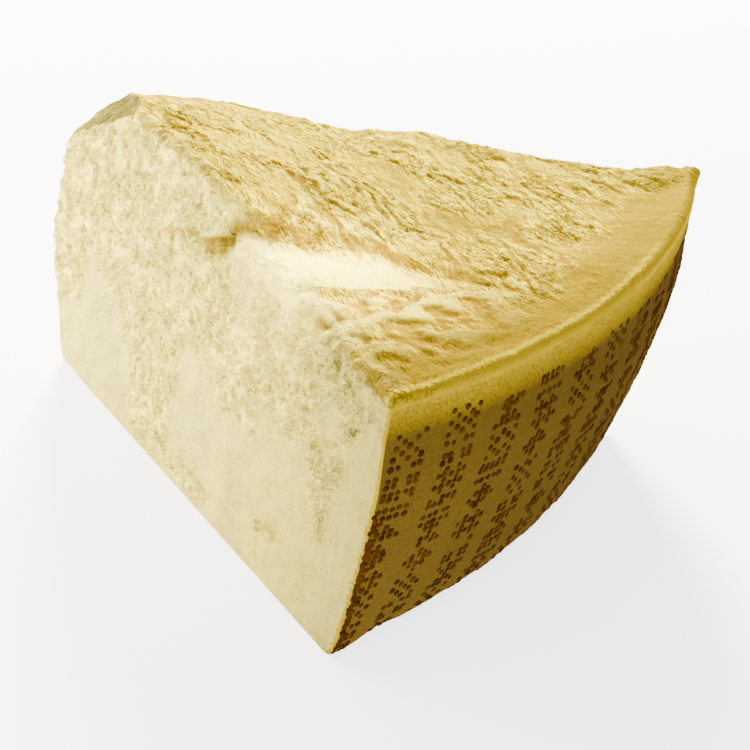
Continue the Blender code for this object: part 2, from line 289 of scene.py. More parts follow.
BURNT_COATS = (("blotch", (0.35, 0.65, 0.0, 1.0), (0.05, 0.019, 0.003, 1.0)),)
BURNT_NOISE, BURNT_FINE_NOISE, BURNT_FINE_RELIEF = (260.0, 2.0, 0.5), (1800.0, 3.0, 0.5), (0.0002, 0.5)
FLOOR_COLOUR, FLOOR_GLOW, FLOOR_ROUGHNESS = (0.92, 0.92, 0.93, 1.0), 3.1, 0.9
PASTE_ROUGHNESS, RIND_ROUGHNESS, GLOSS = 0.45, 0.6, 0.0
SUBSURFACE = {"Subsurface Weight": 0.15, "Subsurface Radius": (1.0, 0.7, 0.25), "Subsurface Scale": 0.0005}

# Camera and lights (name, place, target, power, size, colour and a narrow beam's angle)
CAMERA_PLACE, CAMERA_TARGET = (-0.5681, -0.3413, 0.4275), (-0.0167, -0.0342, 0.05)
CAMERA_ROLL, LENS, SENSOR_WIDTH = math.radians(6.98), 113.95, 36.0
FLOOR_SIZE = 8.0
SKY_COLOUR = (1.0, 1.0, 1.0, 1.0)
SKY_BRIGHT_SIDE, SKY_SPREAD = (-0.8, 0.45, 0.4), (-0.8, 0.8, 0.8, 2.3)
LIGHTS = (
    ("back_light", (0.82, 0.62, 0.66), (0.0, 0.0, 0.08), 102.0, 0.3, (1.0, 0.98, 0.94)),
    ("tip_light", (-0.14, 0.38, 0.15), (-0.03, 0.02, 0.06), 4.6, 0.2, (1.0, 1.0, 1.0)),
    ("top_glow", (-0.1, 0.12, 0.42), (-0.045, -0.034, 0.1), 0.074, 0.03, (1.0, 1.0, 1.0),
     math.radians(9.0)),
)


# ---------------- shaping helpers

def blend(a, b, share):
    return a + (b - a) * share


def ease(start, end, value):
    """0 before start, 1 after end, and a smooth rise between them."""
    share = np.clip((value - start) / (end - start), 0.0, 1.0)
    return share * share * (3 - 2 * share)


def hump(centre, half_width, value):
    """1 at the centre, falling smoothly to 0 past about two half widths."""
    return np.exp(-((value - centre) / half_width) ** 2)


def quarter_round(radius, distance):
    """How far a rounded edge falls away at this distance from it."""
    inside = np.clip(radius - np.maximum(distance, 0.0), 0.0, radius)
    return radius - np.sqrt(radius ** 2 - inside ** 2)


def follow(points, at):
    """Height of the broken line through the points (place, height)."""
    places, heights = zip(*points)
    return np.interp(at, places, heights)


# ---------------- noise

def corner_hash(cell, seed):
    """A whole number below TABLE for each lattice cell."""
    order = np.random.default_rng(seed).permutation(TABLE)
    mixed = order[cell[:, 0] % TABLE]
    mixed = order[(mixed + cell[:, 1]) % TABLE]
    return order[(mixed + cell[:, 2]) % TABLE]


def grain(points, length, seed):
    """Smooth gradient noise from about -1 to 1, one bump about each length."""
    slopes = np.random.default_rng(seed + 1).normal(size=(TABLE, 3))
    slopes /= np.linalg.norm(slopes, axis=1)[:, None]
    scaled = points / length
    cell = np.floor(scaled).astype(int)
    inside = scaled - cell
    weight = inside ** 3 * (inside * (inside * 6 - 15) + 10)
    total = np.zeros(len(points))
    for corner in np.ndindex(2, 2, 2):
        corner = np.array(corner)
        slope = slopes[corner_hash(cell + corner, seed)]
        share = np.prod(np.where(corner == 1, weight, 1 - weight), axis=1)
        total += share * np.einsum("ij,ij->i", slope, inside - corner)
    return total * GRAIN_GAIN


def fractal(points, length, seed, octaves, gain=0.5):
    """Several sizes of grain added together."""
    total = np.zeros(len(points))
    for octave in range(octaves):
        total += grain(points, length / 2 ** octave, seed + SEED_STEP * octave) * gain ** octave
    return total


def crumbs(points, length, seed):
    """Distance to the nearest of scattered seeds, in lengths."""
    places = np.random.default_rng(seed + 1).random((TABLE, 3))
    scaled = points / length
    cell = np.floor(scaled).astype(int)
    nearest = np.full(len(points), FAR)
    for step in np.ndindex(3, 3, 3):
        other = cell + np.array(step) - 1
        away = np.linalg.norm(other + places[corner_hash(other, seed)] - scaled, axis=1)
        nearest = np.minimum(nearest, away)
    return nearest


def chips(plan, length, seed):
    """Flat scattered cells. Returns the way from the nearest seed, its three numbers from -1 to 1,
    and the difference between the distances to the nearest two, all in lengths."""
    values = np.random.default_rng(seed + 1).random((TABLE, 2))
    numbers = np.random.default_rng(seed + 2).uniform(-1, 1, (TABLE, 3))
    scaled = plan / length
    cell = np.floor(scaled).astype(int)
    first = np.full(len(plan), FAR)
    second = np.full(len(plan), FAR)
    way = np.zeros_like(scaled)
    own = np.zeros((len(plan), 3))
    for step in np.ndindex(3, 3):
        other = cell + np.array(step) - 1
        key = corner_hash(np.column_stack((other, np.zeros(len(plan), int))), seed)
        offset = scaled - other - values[key]
        away = np.hypot(*offset.T)
        second = np.minimum(second, np.maximum(first, away))
        nearer = away < first
        first = np.where(nearer, away, first)
        way = np.where(nearer[:, None], offset, way)
        own = np.where(nearer[:, None], numbers[key], own)
    return way, own, second - first


# ---------------- the wedge

def rind_radius(azimuth, across, z):
    """Distance from the meeting line to the rind."""
    back = WHEEL_CENTRE_BACK
    reach = np.sqrt(WHEEL_RADIUS ** 2 - (back * np.sin(azimuth)) ** 2) - back * np.cos(azimuth)
    below = np.maximum(1 - z / DRAW_IN_TOP, 0.0) ** DRAW_IN_POWER
    draw_in = blend(DRAW_IN_LEFT, DRAW_IN_RIGHT, across) * below
    rim = blend(RIM_LEFT, RIM_RIGHT, ease(*RIM_FADE, across)) * quarter_round(1.0, z / RIM_HEIGHT)
    corner = quarter_round(CORNER_ROUND, z) * (1 - ease(*CORNER_FADE, across))
    return reach - draw_in - rim - corner


def tip_radius(azimuth, z):
    """Distance from the meeting line to the broken tip: a ragged end with a facet over it."""
    slope = FACET_NORMAL.y * np.cos(azimuth) - FACET_NORMAL.x * np.sin(azimuth)
    distance = FACET_DISTANCE + FACET_BULGE * hump(BULGE_HEIGHT, BULGE_HALF, z)
    facet = (FACET_NORMAL.z * z - distance) / slope
    return np.maximum(follow(TIP_OUTLINE, z), facet)


def past_step(radius, across):
    """0 on the tip's side of the step that crosses the top, 1 on the rind's side."""
    step_at = follow(STEP_LINE, across)
    half = (STEP_WIDTH + STEP_WIDENS * across) / 2
    return ease(step_at - half, step_at + half, radius)


def top_height(radius, across):
    """The split top falls from the left edge to the right one, and a step crosses it."""
    high = follow(CREST, radius) * (1 - across) ** CREST_POWER
    low = follow(TERRACE, radius) * (1 - across) ** TERRACE_POWER
    edge_round = blend(EDGE_ROUND, EDGE_ROUND_PAST_STEP, hump(ROUNDER_AT, ROUNDER_HALF, radius))
    edge = quarter_round(edge_round, across * WEDGE_ANGLE * radius)
    top = HEIGHT + blend(high, low, past_step(radius, across))
    return top + follow(RIGHT_EDGE, radius) * across - edge


def form(along, across, up):
    """Bends points of the unit block into the wedge. Returns places and distances from the meeting line."""
    azimuth = (across - 0.5) * WEDGE_ANGLE
    tip_top = HEIGHT
    for _ in range(TIP_ROUNDS):
        tip_top = top_height(tip_radius(azimuth, tip_top), across)
    tip = tip_radius(azimuth, up * tip_top)
    rim_top = top_height(WHEEL_RADIUS, across) - SHOULDER_ROUND
    radius = blend(tip, rind_radius(azimuth, across, up * rim_top), along)
    from_rind = (1 - along) * (WHEEL_RADIUS - tip)
    z = up * (top_height(radius, across) - quarter_round(SHOULDER_ROUND, from_rind))
    lean = blend(LEAN_AT_TIP, LEAN, ease(*LEAN_FADE, radius))
    left_in = lean * np.maximum(z - LEAN_FROM, 0.0) * (1 - across)
    x = radius * np.sin(azimuth) + left_in * math.cos(LEFT)
    y = -radius * np.cos(azimuth) + left_in * math.sin(LEFT)
    return np.column_stack((x, y, z)), radius


def closer_at_ends(share):
    """Spreads evenly spaced cuts so that they lie closer together towards both ends."""
    return END_SPACING * share + (1 - END_SPACING) * (1 - np.cos(math.pi * share)) / 2


def make_block(cuts):
    """A closed block of 0 to 1 on each axis, with a grid of faces on all six sides."""
    mesh = bmesh.new()
    for axis in range(3):
        first, second = (axis + 1) % 3, (axis + 2) % 3
        turn = Matrix.Identity(3)
        for row in range(3):
            turn[row][0] = float(row == first)
            turn[row][1] = float(row == second)
            turn[row][2] = float(row == axis)
        for level in (0.0, 1.0):
            middle = Vector((0.5, 0.5, 0.5))
            middle[axis] = level
            matrix = Matrix.Translation(middle) @ turn.to_4x4()
            bmesh.ops.create_grid(mesh, x_segments=cuts[first], y_segments=cuts[second],
                                  size=0.5, matrix=matrix)
    bmesh.ops.remove_doubles(mesh, verts=mesh.verts, dist=SAME_POINT)
    bmesh.ops.recalc_face_normals(mesh, faces=mesh.faces)
    return mesh


# ---------------- relief of the breaks

def flat_points(first, second):
    """Points of a plane, as the noise takes them."""
    return np.column_stack((first, second, np.zeros(len(first))))


def turned(first, second, run, stretch):
    """Coordinates along a direction, divided by stretch, and across it."""
    return (first * run[0] + second * run[1]) / stretch, second * run[0] - first * run[1]


def away_from(place, first, second):
    """Distance from the middle of a place (its two coordinates, its two half sizes), in half sizes."""
    at, aside, half_along, half_aside = place
    return np.hypot((first - at) / half_along, (second - aside) / half_aside)


def torn_layers(sideways, place, spacing, wander, length, seed):
    """Overlapping torn layers from 0 to 1: each rises gently and ends in a short steep edge."""
    order = sideways / spacing + wander * fractal(place, length, seed, octaves=3)
    share = order - np.floor(order)
    return np.minimum(share / EDGE_SHARE, (1 - share) / (1 - EDGE_SHARE))


def waves(points, size, seed, octaves=1, gain=0.5):
    """Waves of a size, given as their height and their length."""
    high, wide = size
    return high * fractal(points, wide, seed, octaves, gain)


def top_grain(flat):
    """Relief of the torn layers on the split top, how crumbly they are, and their painted light: pale where
    each layer stands high and golden where it is low.
    """
    lengthways, sideways = turned(flat[:, 0], flat[:, 1], FLAKE_RUN, FLAKE_STRETCH)
    stretched = flat_points(lengthways, sideways)
    strength = ease(*PATCH_FADE, fractal(flat, PATCH_WIDE, seed=41, octaves=3))
    relief = waves(flat, TOP_GRAIN, seed=51, octaves=2)
    pale = np.zeros(len(flat))
    for spacing, high, wander, seed in LAYERS:
        layer = torn_layers(sideways, stretched, spacing, wander, WANDER_LENGTH * spacing, seed)
        relief += high * layer * blend(CALM_HIGH, 1.0, strength)
        pale += (layer - LAYER_MIDDLE) * blend(CALM_PALE, 1.0, strength)
    return relief, strength, pale


class SplitTop:
    """Points of the split top, and the relief, crumbliness and painted light and shade that they are given.
    """

    def __init__(self, x, y, radius, across):
        self.flat = flat_points(x, y)
        self.radius, self.across = radius, across
        self.from_left = across * WEDGE_ANGLE * radius
        self.to_rind = rind_radius((across - 0.5) * WEDGE_ANGLE, across, HEIGHT) - radius
        self.ragged = waves(self.flat, RAGGED, seed=61)
        self.step_at = follow(STEP_LINE, across)
        self.past_step = radius - self.step_at
        crease_at = CREASE_AT + CREASE_RUN * across + waves(self.flat, CREASE_WANDER, seed=62)
        self.past_crease = radius - crease_at
        self.ramp = np.clip(self.past_step / np.maximum(crease_at - self.step_at, SHORTEST_RAMP), 0.0, 1.0)
        self.in_lumps = ease(*LUMPS_PAST_CREASE, radius + self.ragged - crease_at)
        self.in_lumps *= 1 - ease(*LUMPS_ACROSS, across + ACROSS_RAGGED * self.ragged)
        self.relief, self.crumbly, self.pale = top_grain(self.flat)

    def change(self, share, **values):
        """Gives the points new values where the share is near 1."""
        for name, value in values.items():
            setattr(self, name, blend(getattr(self, name), value, share))


def add_lumps(top):
    """Soft lumps between the crease and the rind, on the left part of the top, with painted highlights on
    their domes and painted shade between them.
    """
    lumpy = flat_points(*turned(top.flat[:, 0], top.flat[:, 1], LUMP_RUN, LUMP_STRETCH))
    dome = ease(*DOME_FADE, fractal(lumpy, LUMP_WIDE, seed=21, octaves=3, gain=0.4))
    lump = LUMP_HIGH * dome * ease(*LUMPS_FLATTEN, top.to_rind)
    lump += waves(top.flat, LUMP_GRAIN, seed=52, octaves=3)
    # Painted highlight on the domes and painted shade between them
    lump_painted_light = (LUMP_HIGHLIGHT * dome - LUMP_SHADE) * ease(*LUMP_TONE_FADE, top.to_rind)
    by_crest = hump(CREST_GOLD_AT, CREST_GOLD_HALF, top.from_left)
    by_crest *= 1 - ease(*CREST_GOLD_END, top.past_step)
    top.crumbly = LEAST_CRUMBLY + (1 - LEAST_CRUMBLY) * top.crumbly
    top.pale = top.pale - CREST_GOLD * by_crest
    top.change(top.in_lumps, relief=lump, crumbly=LUMP_CRUMBLY, pale=lump_painted_light)


def highlight_left_edge(top):
    """The edge along the left side is painted paler as a highlight: past the step, all along it, and where
    the step starts.
    """
    places = (ease(*EDGE_PAST_STEP, top.past_step), 1.0, hump(top.step_at, EDGE_AT_STEP, top.radius))
    for (fade, tone), place in zip(EDGE_HIGHLIGHTS, places):
        top.change(ease(*fade, top.from_left) * place, pale=tone)


def smooth_spots(top):
    """A few smooth oval spots between the torn layers."""
    to_flakes = np.array((FLAKE_RUN, (-FLAKE_RUN[1], FLAKE_RUN[0]))).T
    for spot_x, spot_y, half in SMOOTH_SPOTS:
        away = (top.flat[:, :2] - (spot_x, spot_y)) @ to_flakes
        distance = np.hypot(away[:, 0] / SPOT_STRETCH, away[:, 1]) / half + SPOT_RAGGED * top.ragged
        relief = SPOT_RELIEF[0] + SPOT_RELIEF[1] * top.relief
        top.change(ease(*SPOT_FADE, distance), relief=relief, crumbly=SPOT_CRUMBLY, pale=SPOT_PALE)


def cream_band(top):
    """The smooth band between the step and the crease, paler partly by its own tone and partly as a painted
    highlight, and the painted shade in a golden line along the step.
    """
    cream = ease(*CREAM_RAMP, top.ramp) * (1 - ease(*CREAM_END, top.past_crease))
    cream *= 1 - ease(*CREAM_ACROSS, top.across)
    # Painted highlight, partly the paste's own paler tone
    top.change(cream, relief=CREAM_RELIEF[0] + CREAM_RELIEF[1] * top.relief, crumbly=CREAM_CRUMBLY, pale=1.0)
    # Painted shade along the step
    deep = hump(top.step_at + STEP_SHADE_PAST, STEP_SHADE_HALF, top.radius)
    top.change(deep * (1 - ease(*STEP_SHADE_ACROSS, top.across)), pale=STEP_SHADE)


def smooth_band(top):
    """The smooth band along the rind and the smooth facet over the tip."""
    band = follow(SMOOTH_BAND, top.across)
    smooth = ease(band, band * BAND_INNER, top.to_rind + top.ragged)
    top.change(smooth, relief=BAND_HIGH + waves(top.flat, BAND_GRAIN, seed=71, octaves=3))
    tip_facet = ease(*FACET_ACROSS, top.across + FACET_RAGGED * top.ragged)
    tip_facet *= 1 - ease(*FACET_END, top.radius)
    top.change(tip_facet, relief=FACET_HIGH)
    calm = np.maximum(smooth, tip_facet)
    top.change(calm, crumbly=BAND_CRUMBLY)
    top.change(1 - ease(*LEFT_CRUMBLY_FADE, top.across), crumbly=LEFT_CRUMBLY)
    top.pale = top.pale * (1 - calm)


def dents(radius, from_left):
    """1 in the middle of the two small dents by the left edge, 0 away from them."""
    total = np.zeros(len(radius))
    for place in DENTS:
        total += hump(0.0, 1.0, away_from(place, radius, from_left))
    return np.minimum(total, 1.0)


def crease_and_dents(top):
    """The ramp that ends at the crease, the two dents painted golden inside as shade within a ring painted
    pale as a highlight, and the top's long waves.
    """
    fade = ease(*RAMP_START, top.across) * (1 - ease(*RAMP_END, top.across))
    terrace = CREASE_HIGH * top.ramp * (1 - ease(*RAMP_FRONT, top.past_crease)) * fade
    dent = dents(top.radius, top.from_left)
    # Painted highlight on a ring round the dents, and painted shade in them
    top.change(hump(0.0, 1.0, away_from(DENT_RING, top.radius, top.from_left)), pale=DENT_RING_HIGHLIGHT)
    top.change(dent, pale=DENT_SHADE)
    edge_wave = grain(top.flat, BACK_EDGE_WIDE, seed=83)
    long_waves = waves(top.flat, LONG_WAVE, seed=81, octaves=3)
    long_waves += BACK_EDGE_HIGH * ease(*BACK_EDGE_FADE, top.across) * edge_wave
    top.relief = top.relief + terrace - DENT_DEEP * dent + long_waves


def split_top(x, y, radius, across):
    top = SplitTop(x, y, radius, across)
    for change in (add_lumps, highlight_left_edge, smooth_spots, cream_band, smooth_band, crease_and_dents):
        change(top)
    return top


def left_roughness(s, z):
    """1 where the left split is granular, 0 where it is smooth."""
    ragged = waves(flat_points(s, z), LOWER_RAGGED, seed=101, octaves=5, gain=0.65)
    rough = ease(*LOWER_FADE, z - follow(LOWER_EDGE, s) + ragged)
    for patch in SMOOTH_PATCHES:
        away = away_from(patch, s, z) + SMOOTH_RAGGED * ragged
        rough = np.minimum(rough, blend(SMOOTH_LEFT, 1.0, ease(*SMOOTH_FADE, away)))
    for patch in ROUGH_PATCHES:
        rough = np.maximum(rough, ease(*ROUGH_FADE, away_from(patch, s, z) + ROUGH_RAGGED * ragged))
    return rough


def chip_relief(s, z):
    """Tilted chips of two sizes, which sink a little where they meet."""
    place = flat_points(s, z)
    lengthways, sideways = turned(s, z, CHIP_RUN, CHIP_STRETCH)
    bent = np.column_stack((lengthways + waves(place, CHIP_BEND, seed=7),
                            sideways + waves(place, CHIP_BEND, seed=9)))
    relief = np.zeros(len(s))
    for wide, high, seed in CHIPS:
        way, own, edge = chips(bent, wide, seed)
        tilt = CHIP_STEP * own[:, 0] + (own[:, 1:] * way).sum(axis=1)
        relief += high * tilt * ease(-CHIP_JOINT, CHIP_JOINT, edge)
    return relief


def tooth_relief(s, z):
    """The raised flake, which widens upwards from its point."""
    middle, half_width, point, top = TOOTH
    past_side = np.abs(s - middle) - half_width * ease(0.0, 1.0, (z - point) / TOOTH_WIDENS_OVER)
    tooth = 1 - ease(0.0, TOOTH_EDGE, np.maximum(past_side, point - z))
    tooth *= 1 - ease(top - TOOTH_FADES_OVER, top, z)
    return TOOTH_OUT * tooth


def lip_relief(s, z):
    """The lip stands out above its lower edge, and the hollow lies below that edge."""
    over = z - (follow(LIP_LINE, s) + waves(flat_points(s, z), LIP_WANDER, seed=151))
    along = ease(*LIP_START_FADE, s) * (1 - ease(*LIP_END_FADE, s))
    hollow = ease(*HOLLOW_FADE, over) * (1 - ease(*UNDER_EDGE_FADE, over))
    deep = blend(LIP_IN, HOLLOW_DEEPER * LIP_IN, ease(*HOLLOW_DEEPER_FADE, s))
    return along * (LIP_OUT * ease(*LIP_EDGE_FADE, over) * (1 - ease(0.0, LIP_THICK, over)) - deep * hollow)


def left_relief(s, z):
    """How far the left split stands out of its flat side."""
    place = flat_points(s, z)
    coarse = GRANULAR_OUT + chip_relief(s, z) + waves(place, GRANULAR_WAVE, seed=121, octaves=5, gain=0.6)
    fine = waves(place, SMOOTH_GRAIN, seed=131, octaves=3) + waves(place, SMOOTH_WAVE, seed=141)
    return blend(fine, coarse, left_roughness(s, z)) + tooth_relief(s, z) + lip_relief(s, z)


def rind_relief(points):
    """Unevenness of the rind."""
    return waves(points, RIND_WAVE, seed=201, octaves=2) + waves(points, RIND_GRAIN, seed=211, octaves=2)


def break_relief(points):
    """Relief of the hidden breaks: the right side and the tip."""
    high, wide = BREAK_CRUMB
    nearest = crumbs(points, wide, seed=301)
    crumb = np.sqrt(np.clip(1 - nearest ** 2, 0.0, 1.0))
    return waves(points, BREAK_WAVE, seed=311, octaves=4, gain=0.6) + high * crumb


# ---------------- the chunk

def sides_of(unit):
    """For each side of the block, which points of the unit block lie on it."""
    on = {}
    for axis, (low, high) in enumerate((("tip", "rind"), ("left", "right"), ("base", "top"))):
        on[low] = unit[:, axis] < EDGE
        on[high] = unit[:, axis] > 1 - EDGE
    return on


def move_points(mesh, points):
    mesh.vertices.foreach_set("co", points.ravel())
    mesh.update()


def total_relief(points, s, on, top_out):
    """Each side's relief, shared equally between the sides that meet at a point; none on the base."""
    z = points[:, 2]
    hidden = break_relief(points) * ease(*HIDDEN_BASE_FADE, z)
    reliefs = {"top": top_out, "left": left_relief(s, z) * ease(*BASE_FADE, z),
               "rind": rind_relief(points) * ease(*BASE_FADE, z), "right": hidden, "tip": hidden}
    total = np.zeros(len(points))
    count = np.zeros(len(points))
    for side, relief in reliefs.items():
        total += np.where(on[side], relief, 0.0)
        count += on[side]
    return np.where(on["base"], 0.0, total / np.maximum(count, 1))


def gold_share(points, s, radius, across, on, pale):
    """1 where the paste is golden: on the top, where the gold is partly its own tone and partly painted
    backlit glow, and as painted shade in the hollow under the lip and along the step.
    """
    z = points[:, 2]
    from_left = across * WEDGE_ANGLE * radius
    left_only = on["left"] & ~on["top"]
    chipped = waves(points, CHIPPED, seed=91, octaves=3)
    past_edge = np.where(left_only, z - top_height(radius, 0.0) - GOLD_ABOVE_EDGE, from_left)
    gold = ease(*GOLD_EDGE_FADE, past_edge + GOLD_SHIFT + GOLD_CHIPPED * chipped)
    gold = np.where(on["top"] | on["left"], gold, 0.0)
    past = past_step(radius, across) * (1 - ease(*GOLD_PAST_STEP, radius))
    at_nose = hump(NOSE_AT, NOSE_WIDE, radius) * (1 - ease(*NOSE_GOLD_FADE, past_edge))
    gold *= (1 - past * (1 - ease(*GOLD_FROM_LEFT, past_edge))) * (1 - at_nose)
    # Painted shade in the hollow under the lip
    hollow_at = away_from(HOLLOW_SHADE, s, z - follow(LIP_LINE, s))
    gold = np.maximum(gold, np.where(on["left"], ease(*HOLLOW_SHADE_FADE, hollow_at), 0.0))
    gold *= 1 - PALE_LESS_GOLD * np.clip(pale, 0.0, 1.0)

    # Painted shade: golden lines along the step and up the nose
    step_half = blend(*STEP_LINE_HALF, ease(*STEP_LINE_FADE, from_left))
    at_step = hump(follow(STEP_LINE, across), step_half, radius) * on["top"]
    (low_s, low_z), (high_s, high_z) = NOSE_LINE
    up_nose = (z - low_z) / (high_z - low_z)
    at_step += hump(blend(low_s, high_s, up_nose), NOSE_HALF, s) * ease(*NOSE_FADE, up_nose) * left_only
    return np.maximum(np.maximum(gold, at_step), dents(radius, from_left) * on["top"])


def material_values(points, s, radius, across, on, top):
    """What the materials read at each point, apart from the dips."""
    z = points[:, 2]
    # Painted light and shade on the top; a fixed share on the left side
    pale = np.where(on["top"], top.pale, LEFT_PALE)
    left_rough = LEFT_LEAST_ROUGH + (1 - LEFT_LEAST_ROUGH) * left_roughness(s, z)
    rough = np.where(on["left"] & ~on["top"], left_rough, np.where(on["top"], top.crumbly, 1.0))
    return {
        "gold": gold_share(points, s, radius, across, on, pale),
        "pale": pale,
        "top": np.where(on["top"], 1.0, 0.0),
        "rough": np.where(on["rind"], 0.0, rough),
        # Painted shade on the tip's facet
        "facet_shade": np.where(on["tip"], ease(*FACET_SHADE_FADE, z), 0.0),
        "to_rind": rind_radius((across - 0.5) * WEDGE_ANGLE, across, z) - radius,
        "arc": (across * WEDGE_ANGLE) * WHEEL_RADIUS,
    }


def thinning_weights(on, z):
    """0 where no face may go, 1 where faces go first."""
    weights = np.where(on["right"] | on["tip"] | on["base"], 1.0, np.where(on["rind"], RIND_SEEN, SEEN))
    weights = np.where(on["tip"], blend(1.0, TIP_SEEN, ease(*TIP_SEEN_FADE, z)), weights)
    weights = np.where(on["right"], blend(1.0, RIGHT_SEEN, ease(*RIGHT_SEEN_FADE, z)), weights)
    rind_edge = on["rind"] & (on["top"] | on["left"] | on["right"] | on["base"])
    return np.where(rind_edge, 0.0, np.round(weights, 1))


def settle(block):
    """Bends the block into the chunk. Returns its mesh, what its material reads and its weights."""
    block.verts.index_update()
    unit = np.array([vertex.co[:] for vertex in block.verts])
    on = sides_of(unit)
    for face in block.faces:
        face.material_index = int(all(on["rind"][vertex.index] for vertex in face.verts))
    mesh = bpy.data.meshes.new("chunk")
    block.to_mesh(mesh)

    along, across, up = closer_at_ends(unit).T
    points, radius = form(along, across, up)
    move_points(mesh, points)
    s = points[:, 0] * math.sin(LEFT) - points[:, 1] * math.cos(LEFT)
    top = split_top(points[:, 0], points[:, 1], radius, across)
    total = total_relief(points, s, on, top.relief)
    # Painted shade: how far each point lies below its neighbours, which paints the dips golden
    dip_shade = np.clip((smoothed(block, total) - total) / DIP_SCALE, -1.0, 1.0) * (on["top"] | on["left"])
    normals = np.empty(points.size)
    mesh.vertices.foreach_get("normal", normals)
    points += normals.reshape(points.shape) * total[:, None]
    points[:, 2] = np.where(on["base"], 0.0, np.maximum(points[:, 2], 0.0))
    move_points(mesh, points)

    values = material_values(points, s, radius, across, on, top)
    values["dip_shade"] = dip_shade
    return mesh, values, thinning_weights(on, points[:, 2])


def smoothed(block, values):
    """The values after several rounds of averaging between neighbouring points."""
    ends = np.array([(edge.verts[0].index, edge.verts[1].index) for edge in block.edges])
    count = len(values)
    neighbours = np.bincount(ends.ravel(), minlength=count)
    for _ in range(DIP_ROUNDS):
        sums = np.bincount(ends[:, 0], values[ends[:, 1]], count)
        sums += np.bincount(ends[:, 1], values[ends[:, 0]], count)
        values = blend(values, sums / neighbours, DIP_SHARE)
    return values


def add_values(mesh, values):
    for name, value in values.items():
        layer = mesh.attributes.new(name, "FLOAT", "POINT")
        layer.data.foreach_set("value", value.astype(np.float32))


def join_base(chunk):
    """Joins the flat base's grid into one face."""
    mesh = bmesh.new()
    mesh.from_mesh(chunk.data)
    base = [face for face in mesh.faces if all(vertex.co.z < FLAT for vertex in face.verts)]
    bmesh.ops.dissolve_faces(mesh, faces=base)
    mesh.to_mesh(chunk.data)
    mesh.free()


def thin_out(chunk, weights):
    """Leaves fewer faces, mostly on the hidden sides and where the surface is flat."""
    group = chunk.vertex_groups.new(name="hidden")
    for weight in np.unique(weights):
        group.add(np.nonzero(weights == weight)[0].tolist(), float(weight), "REPLACE")
    thin = chunk.modifiers.new("thin", "DECIMATE")
    thin.ratio = FACE_LIMIT / (2 * len(chunk.data.polygons))
    thin.vertex_group_factor = HIDDEN_FACTOR
    thin.vertex_group = group.name
    thin.use_collapse_triangulate = True
    apply_modifiers(chunk)


def apply_modifiers(piece):
    graph = bpy.context.evaluated_depsgraph_get()
    finished = bpy.data.meshes.new_from_object(piece.evaluated_get(graph), depsgraph=graph)
    piece.modifiers.clear()
    piece.data = finished


def make_chunk(offset):
    block = make_block(BLOCK_CUTS)
    mesh, values, weights = settle(block)
    block.free()
    add_values(mesh, values)
    mesh.transform(Matrix.Translation(offset))
    mesh.materials.append(paste_material())
    mesh.materials.append(rind_material())
    chunk = bpy.data.objects.new("cheese_body", mesh)
    bpy.context.scene.collection.objects.link(chunk)
    thin_out(chunk, weights)
    join_base(chunk)
    chunk.data.shade_smooth()
    return chunk


# ---------------- ornament burnt into the rind

def rind_at(arc, z):
    azimuth = LEFT + arc / RIND_ARC_RADIUS
    across = azimuth / WEDGE_ANGLE + 0.5
    radius = float(rind_radius(azimuth, across, np.array(z)))
    return Vector((radius * math.sin(azimuth), -radius * math.cos(azimuth), z))


def rind_place(arc, z):
    """A place on the rind, by its arc length from the left edge, and the directions along and up it."""
    middle = rind_at(arc, z)
    sideways = rind_at(arc + PROBE, z) - middle
    upwards = rind_at(arc, z + PROBE) - middle
    return middle, sideways.normalized(), upwards.normalized()


def add_mark(marks, arc, z, rng):
    """Adds one small burnt dot, half sunk into the rind."""
    middle, sideways, upwards = rind_place(arc, z)
    outwards = sideways.cross(upwards).normalized()
    middle += outwards * float(rind_relief(np.array([middle[:]]))[0])
    size = DOT_SMALLEST + DOT_RANGE * rng.random()
    half_wide, half_high, half_thick = DOT_HALF
    sides = (sideways * half_wide * size, upwards * half_high * size, outwards * half_thick)
    turn = Matrix(sides).transposed() @ Matrix.Rotation(DOT_LEAN, 3, "Z")
    matrix = Matrix.Translation(middle) @ turn.to_4x4()
    bmesh.ops.create_icosphere(marks, subdivisions=1, radius=1.0, matrix=matrix)


def add_line(marks, line, middle, z, rng):
    """Adds one line of a motif. Leaves out the marks past the rind's edges, and a few others."""
    for place, sign in enumerate(line):
        arc = middle + (place - len(line) // 2) * DOT_PITCH
        if sign == "o" and arc > MARK_FIRST and z > MARK_BOTTOM and rng.random() > MARK_MISSING:
            add_mark(marks, arc + rng.normal() * DOT_SCATTER, z + rng.normal() * DOT_SCATTER, rng)


def add_column(marks, column, rng):
    """Adds a leaning column of motifs, in an order of its own."""
    z = MARK_TOP - TOP_SCATTER * rng.random()
    order = rng.permutation(len(MOTIFS))
    motif_count = 0
    while z > MARK_BOTTOM:
        for line in MOTIFS[order[motif_count % len(MOTIFS)]]:
            lean = MARK_LEAN * (z - MARK_TOP)
            add_line(marks, line, FIRST_COLUMN + column * COLUMN_PITCH + lean, z, rng)
            z -= ROW_PITCH
        z -= MOTIF_GAP
        motif_count += 1


def make_marks(offset):
    """An ornament of burnt dots: columns of lozenges, checks and bars, and a strip along the left edge."""
    rng = np.random.default_rng(MARK_SEED)
    marks = bmesh.new()
    for column in range(MARK_COLUMNS):
        add_column(marks, column, rng)
    along, upwards = EDGE_SCATTER
    for z in np.arange(*EDGE_MARKS):
        for _ in range(EDGE_MARKS_EACH):
            add_mark(marks, abs(rng.normal()) * along, z + rng.normal() * upwards, rng)
    mesh = bpy.data.meshes.new("burnt_marks")
    marks.to_mesh(mesh)
    marks.free()
    mesh.transform(Matrix.Translation(offset))
    mesh.shade_smooth()
    mesh.materials.append(mark_material())
    piece = bpy.data.objects.new("burnt_marks", mesh)
    bpy.context.scene.collection.objects.link(piece)
    return piece


# ---------------- materials

